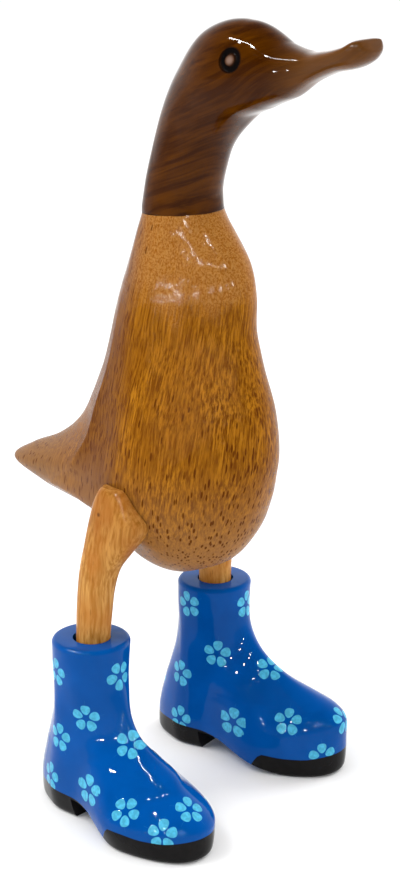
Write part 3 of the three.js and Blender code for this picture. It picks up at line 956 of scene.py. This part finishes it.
def paint_boot(boot, side, name, flower_radius):
    """Writes where the black band, the bare hole and the flowers lie on the boot."""
    turn, middle = boot_turn(side, name)
    mesh = boot.data
    points, centres = (
        (vectors_of(items, key) / MM - origin() - middle) @ turn
        for items, key in ((mesh.vertices, "co"), (mesh.polygons, "center"))
    )
    sole = band_height(points[:, 1], BOOT_CARVING[name]["band"]) - points[:, 2]
    from_axis = np.hypot(points[:, 0], points[:, 1] - HOLE["forward"])
    inside = (from_axis < HOLE["radius"] + BORE["reach"]) & (points[:, 2] > BORE["lowest"])
    bore = np.where(inside, 1.0 - smoothstep(points[:, 2], *BORE["paint"]), 0.0)
    for label, values in (("sole", np.clip(sole, -BAND_REACH, BAND_REACH)), ("bore", bore)):
        layer = mesh.attributes.new(label, "FLOAT", "POINT")
        layer.data.foreach_set("value", values.astype(np.float32))

    normals = vectors_of(mesh.vertices, "normal") @ turn
    faces = np.empty(len(mesh.loops), int)
    for polygon in mesh.polygons:
        faces[polygon.loop_start : polygon.loop_start + polygon.loop_total] = polygon.index
    corners = np.empty(len(mesh.loops), int)
    mesh.loops.foreach_get("vertex_index", corners)
    uv = np.full((len(mesh.loops), 2), NO_FLOWER)
    nearest = np.full(len(mesh.polygons), FLOWER_REACH * flower_radius)
    for x, y, z, spin, *wide in FLOWERS[name]:
        k = np.argmin(np.linalg.norm(points - [x, y, z], axis=1))
        out = unit(normals[k])
        upward = unit(np.array([0, 0, 1.0]) - out * out[2])
        across = np.cross(upward, out)
        distance = np.linalg.norm(centres - points[k], axis=1)
        mine = distance < nearest
        nearest[mine] = distance[mine]
        chosen = mine[faces]
        local = (points[corners[chosen]] - points[k]) / flower_radius
        u, v = local @ across / (wide[0] if wide else 1), local @ upward
        c, s = math.cos(math.radians(spin)), math.sin(math.radians(spin))
        uv[chosen] = np.stack([u * c - v * s, u * s + v * c], axis=1)
    mesh.uv_layers.new(name="flowers").data.foreach_set("uv", uv.astype(np.float32).ravel())


# Stage

FLOOR_REACH = 6.0
CAMERA = {
    "at": (-485.0, -444.5, 342.8),
    "facing": (0.755, 0.656),
    "pitch": 17.66,
    "focal_pixels": 1900,
    "nearest": 0.01,
}
PAPER_WHITES = (0.9, 0.9, 0.9, 1), (0.92, 0.92, 0.92, 1)
IMAGE_HEIGHT = 872
SENSOR = 36


def add_floor():
    mesh = bpy.data.meshes.new("floor")
    r = FLOOR_REACH
    mesh.from_pydata([(-r, -r, 0), (r, -r, 0), (r, r, 0), (-r, r, 0)], [], [(0, 1, 2, 3)])
    paper = Finish("pale_floor")
    tone = paper.mix(paper.noise(paper.place, 40, 2), *PAPER_WHITES)
    fibres = paper.bump(paper.noise(paper.place, 0.5), 0.01)
    mesh.materials.append(paper.done(tone, 0.8, fibres, coat=0))
    floor = put_in_scene("floor", mesh)


# Rows of round lamps about the duck that show only in the lacquer, as small sharp glints. A
# row goes from one bearing and elevation to another. Bearings count from straight ahead of
# the duck, and its right side is negative.
LAMP_ROWS = table(
    "name first last count size",
    ("crown_lamp", (-150, 52), (-102, 64), 16, 0.035),
    ("big_lamp", (-130, 54), (-100, 62), 2, 0.09),
    ("upper_lamp", (-94, 47), (-34, 50), 4, 0.06),
    ("middle_lamp", (-84, 26), (-17, 34), 6, 0.06),
    ("low_lamp", (-89, 5), (-7, 12), 6, 0.05),
)
GLINT_BRIGHTNESS = 350
# Large lamps that the lacquer doesn't mirror
SOFT_LAMPS = table(
    "name bearing elevation size brightness",
    ("soft_key", -130, 50, 0.9, 5.5),
    ("soft_fill", 70, 25, 0.9, 5),
)
LAMP_DISTANCE = 1.4
LAMP_AIM = (0, 0, 0.14)
ROOM_LIGHT = 1.12
# What the lacquer mirrors: how far round the backdrop begins and is full, and then for the
# room in front and for the backdrop two heights of the view and how bright each one is
BACKDROP_ROUND = (-0.2, 0.6)
FRONT_ROOM = (0.05, 0.6, 0.5, 0.02)
BACKDROP = (0.2, 0.9, 1.6, 0.2)


def add_lamp(name, bearing, elevation, size, brightness):
    """A round lamp that faces the duck."""
    lamp = bpy.data.lights.new(name, "AREA")
    lamp.shape = "DISK"
    lamp.size = size
    lamp.energy = brightness * math.pi * math.pi * (size / 2) ** 2
    holder = put_in_scene(name, lamp)
    turn, rise = math.radians(bearing), math.radians(elevation)
    level = math.cos(rise)
    away = Vector((math.sin(turn) * level, -math.cos(turn) * level, math.sin(rise)))
    holder.location = Vector(LAMP_AIM) + away * LAMP_DISTANCE
    aim(holder, -away)
    return holder


def add_room():
    """Even white light. The lacquer mirrors a pale backdrop and a darker room in front."""
    world = bpy.data.worlds.new("white_room")
    world.use_nodes = True
    room = Nodes(world.node_tree)
    direction = room.add("TexCoord").outputs["Generated"]
    upward = room.axes(direction)[2]
    away = room.vector("DOT_PRODUCT", direction, (*CAMERA["facing"], 0), output="Value")
    behind = room.step(away, *BACKDROP_ROUND)
    front, backdrop = room.step(upward, *FRONT_ROOM), room.step(upward, *BACKDROP)
    wall = room.add("Mix", {0: behind, 2: front, 3: backdrop}).outputs[0]
    glossy = room.add("LightPath").outputs["Is Glossy Ray"]
    strength = room.add("Mix", {0: glossy, 2: ROOM_LIGHT, 3: wall}).outputs[0]
    background = room.nodes["Background"]
    background.inputs["Color"].default_value = (1, 1, 1, 1)
    room.plug(background.inputs["Strength"], strength)
    bpy.context.scene.world = world


def add_light():
    add_room()
    for soft in SOFT_LAMPS:
        add_lamp(**soft).visible_glossy = False
    for row in LAMP_ROWS:
        places = np.linspace(row["first"], row["last"], row["count"])
        for i, (bearing, elevation) in enumerate(places):
            lamp = add_lamp(f"{row['name']}_{i}", bearing, elevation, row["size"], GLINT_BRIGHTNESS)
            lamp.visible_diffuse = False


def add_camera():
    lens = bpy.data.cameras.new("camera")
    lens.sensor_width = SENSOR
    lens.lens = CAMERA["focal_pixels"] / IMAGE_HEIGHT * SENSOR
    lens.clip_start = CAMERA["nearest"]
    camera = put_in_scene("camera", lens)
    pitch = math.radians(CAMERA["pitch"])
    facing = unit(np.array(CAMERA["facing"])) * math.cos(pitch)
    camera.location = (np.array(CAMERA["at"]) + origin()) * MM
    aim(camera, Vector((*facing, -math.sin(pitch))))
    bpy.context.scene.camera = camera
    bpy.context.scene.view_settings.view_transform = "Standard"


# Settings and operators


class DuckSettings(bpy.types.PropertyGroup):
    """Sizes and colours of the duck that a user may change."""

    eye_radius: FloatProperty(
        name="Eye ring", description="Radius of the ring drilled for an eye", unit="LENGTH",
        default=0.003,
    )
    eye_groove: FloatProperty(
        name="Eye groove", description="Half the width of the eye's ring", unit="LENGTH",
        default=0.0012,
    )
    flower_radius: FloatProperty(
        name="Flower", description="Radius of a painted flower", unit="LENGTH",
        default=0.0053,
    )
    head_color: FloatVectorProperty(
        name="Head wood", description="Middle colour of the head", subtype="COLOR",
        default=(0.052, 0.0145, 0.0003),
    )
    body_color: FloatVectorProperty(
        name="Body wood", description="Middle colour of the body", subtype="COLOR",
        default=(0.22, 0.072, 0.003),
    )
    leg_color: FloatVectorProperty(
        name="Leg wood", description="Middle colour of the legs", subtype="COLOR",
        default=(0.45, 0.215, 0.05),
    )
    boot_color: FloatVectorProperty(
        name="Boot paint", description="Colour of the boots", subtype="COLOR",
        default=(0.0003, 0.068, 0.3),
    )
    flower_color: FloatVectorProperty(
        name="Flower paint", description="Colour of the flowers", subtype="COLOR",
        default=(0.07, 0.4, 0.6),
    )


class DUCK_OT_add_head(bpy.types.Operator):
    """Add the dark head and neck with its bill and drilled eyes"""

    bl_idname = "duck.add_head"
    bl_label = "Head and neck"

    def execute(self, context):
        settings = context.scene.duck
        head = piece_from_rings("head_and_neck_carving", hand_carved(head_rings(), *HEAD_WAVES))
        for side in (1, -1):
            rings = eye_cutter(side, settings.eye_radius / MM, settings.eye_groove / MM)
            cut(head, ring_tube("eye_cutter", rings))
        shade_smooth(head, SHARP_ANGLE["head"])
        finish_piece(head, "head_and_neck", dark_wood(settings))
        return {"FINISHED"}


class DUCK_OT_add_body(bpy.types.Operator):
    """Add the golden body and tail"""

    bl_idname = "duck.add_body"
    bl_label = "Body and tail"

    def execute(self, context):
        body = piece_from_rings("body_and_tail_carving", hand_carved(body_rings(), *BODY_WAVES))
        shade_smooth(body, SHARP_ANGLE["body"])
        finish_piece(body, "body_and_tail", golden_wood(context.scene.duck))
        return {"FINISHED"}


class DUCK_OT_add_legs(bpy.types.Operator):
    """Add the two legs, each cut to fit against the body"""

    bl_idname = "duck.add_legs"
    bl_label = "Legs"

    def execute(self, context):
        material = honey_wood(context.scene.duck)
        for side, name in ((1, "left"), (-1, "right")):
            turn, middle = boot_turn(side, name)
            hole_y = (turn @ [0, HOLE["forward"], 0] + middle)[1]
            leg = piece_from_rings(name + "_leg_carving", leg_rings(side, hole_y))
            outward(leg)
            for shift in ((GLUE_GAP * side, 0, 0), (0, 0, -GLUE_GAP)):
                # Half of the body's rings do for a cutter.
                body = piece_from_rings("body_cutter", [ring + shift for ring in body_rings()[::2]])
                cut(leg, body)
            shade_smooth(leg, SHARP_ANGLE["leg"])
            finish_piece(leg, name + "_leg", material)
        return {"FINISHED"}


class DUCK_OT_add_boots(bpy.types.Operator):
    """Add the two painted boots"""

    bl_idname = "duck.add_boots"
    bl_label = "Boots"

    def execute(self, context):
        settings = context.scene.duck
        material = boot_paint(settings)
        for side, name in ((1, "left"), (-1, "right")):
            turn, middle = boot_turn(side, name)
            carving = BOOT_CARVING[name]

            def standing(rings):
                return [ring @ turn.T + middle for ring in rings]

            boot = piece_from_rings(name + "_boot_carving", standing(boot_rings(carving)))
            outward(boot)
            for rings in (arch_rings(carving["arch_end"]), hole_rings()):
                cutter = piece_from_rings("boot_cutter", standing(rings))
                outward(cutter)
                cut(boot, cutter)
            paint_boot(boot, side, name, settings.flower_radius / MM)
            shade_smooth(boot, SHARP_ANGLE["boot"])
            finish_piece(boot, name + "_boot", material)
        return {"FINISHED"}


class DUCK_OT_add_stage(bpy.types.Operator):
    """Add the pale floor, the soft light and the camera"""

    bl_idname = "duck.add_stage"
    bl_label = "Stage"

    def execute(self, context):
        add_floor()
        add_light()
        add_camera()
        return {"FINISHED"}


class VIEW3D_PT_duck(bpy.types.Panel):
    """The duck's pieces and settings"""

    bl_label = "Carved duck in boots"
    bl_space_type = "VIEW_3D"
    bl_region_type = "UI"
    bl_category = "Duck"

    def draw(self, context):
        column = self.layout.column()
        for name in DuckSettings.__annotations__:
            column.prop(context.scene.duck, name)
        for operator in OPERATORS:
            column.operator(operator.bl_idname)


OPERATORS = (
    DUCK_OT_add_head,
    DUCK_OT_add_body,
    DUCK_OT_add_legs,
    DUCK_OT_add_boots,
    DUCK_OT_add_stage,
)
CLASSES = (DuckSettings, *OPERATORS, VIEW3D_PT_duck)


def register():
    for cls in CLASSES:
        bpy.utils.register_class(cls)
    bpy.types.Scene.duck = PointerProperty(type=DuckSettings)


def unregister():
    del bpy.types.Scene.duck
    for cls in reversed(CLASSES):
        bpy.utils.unregister_class(cls)


def main():
    register()
    bpy.ops.duck.add_head()
    bpy.ops.duck.add_body()
    bpy.ops.duck.add_legs()
    bpy.ops.duck.add_boots()
    bpy.ops.duck.add_stage()


if __name__ == "__main__":
    main()
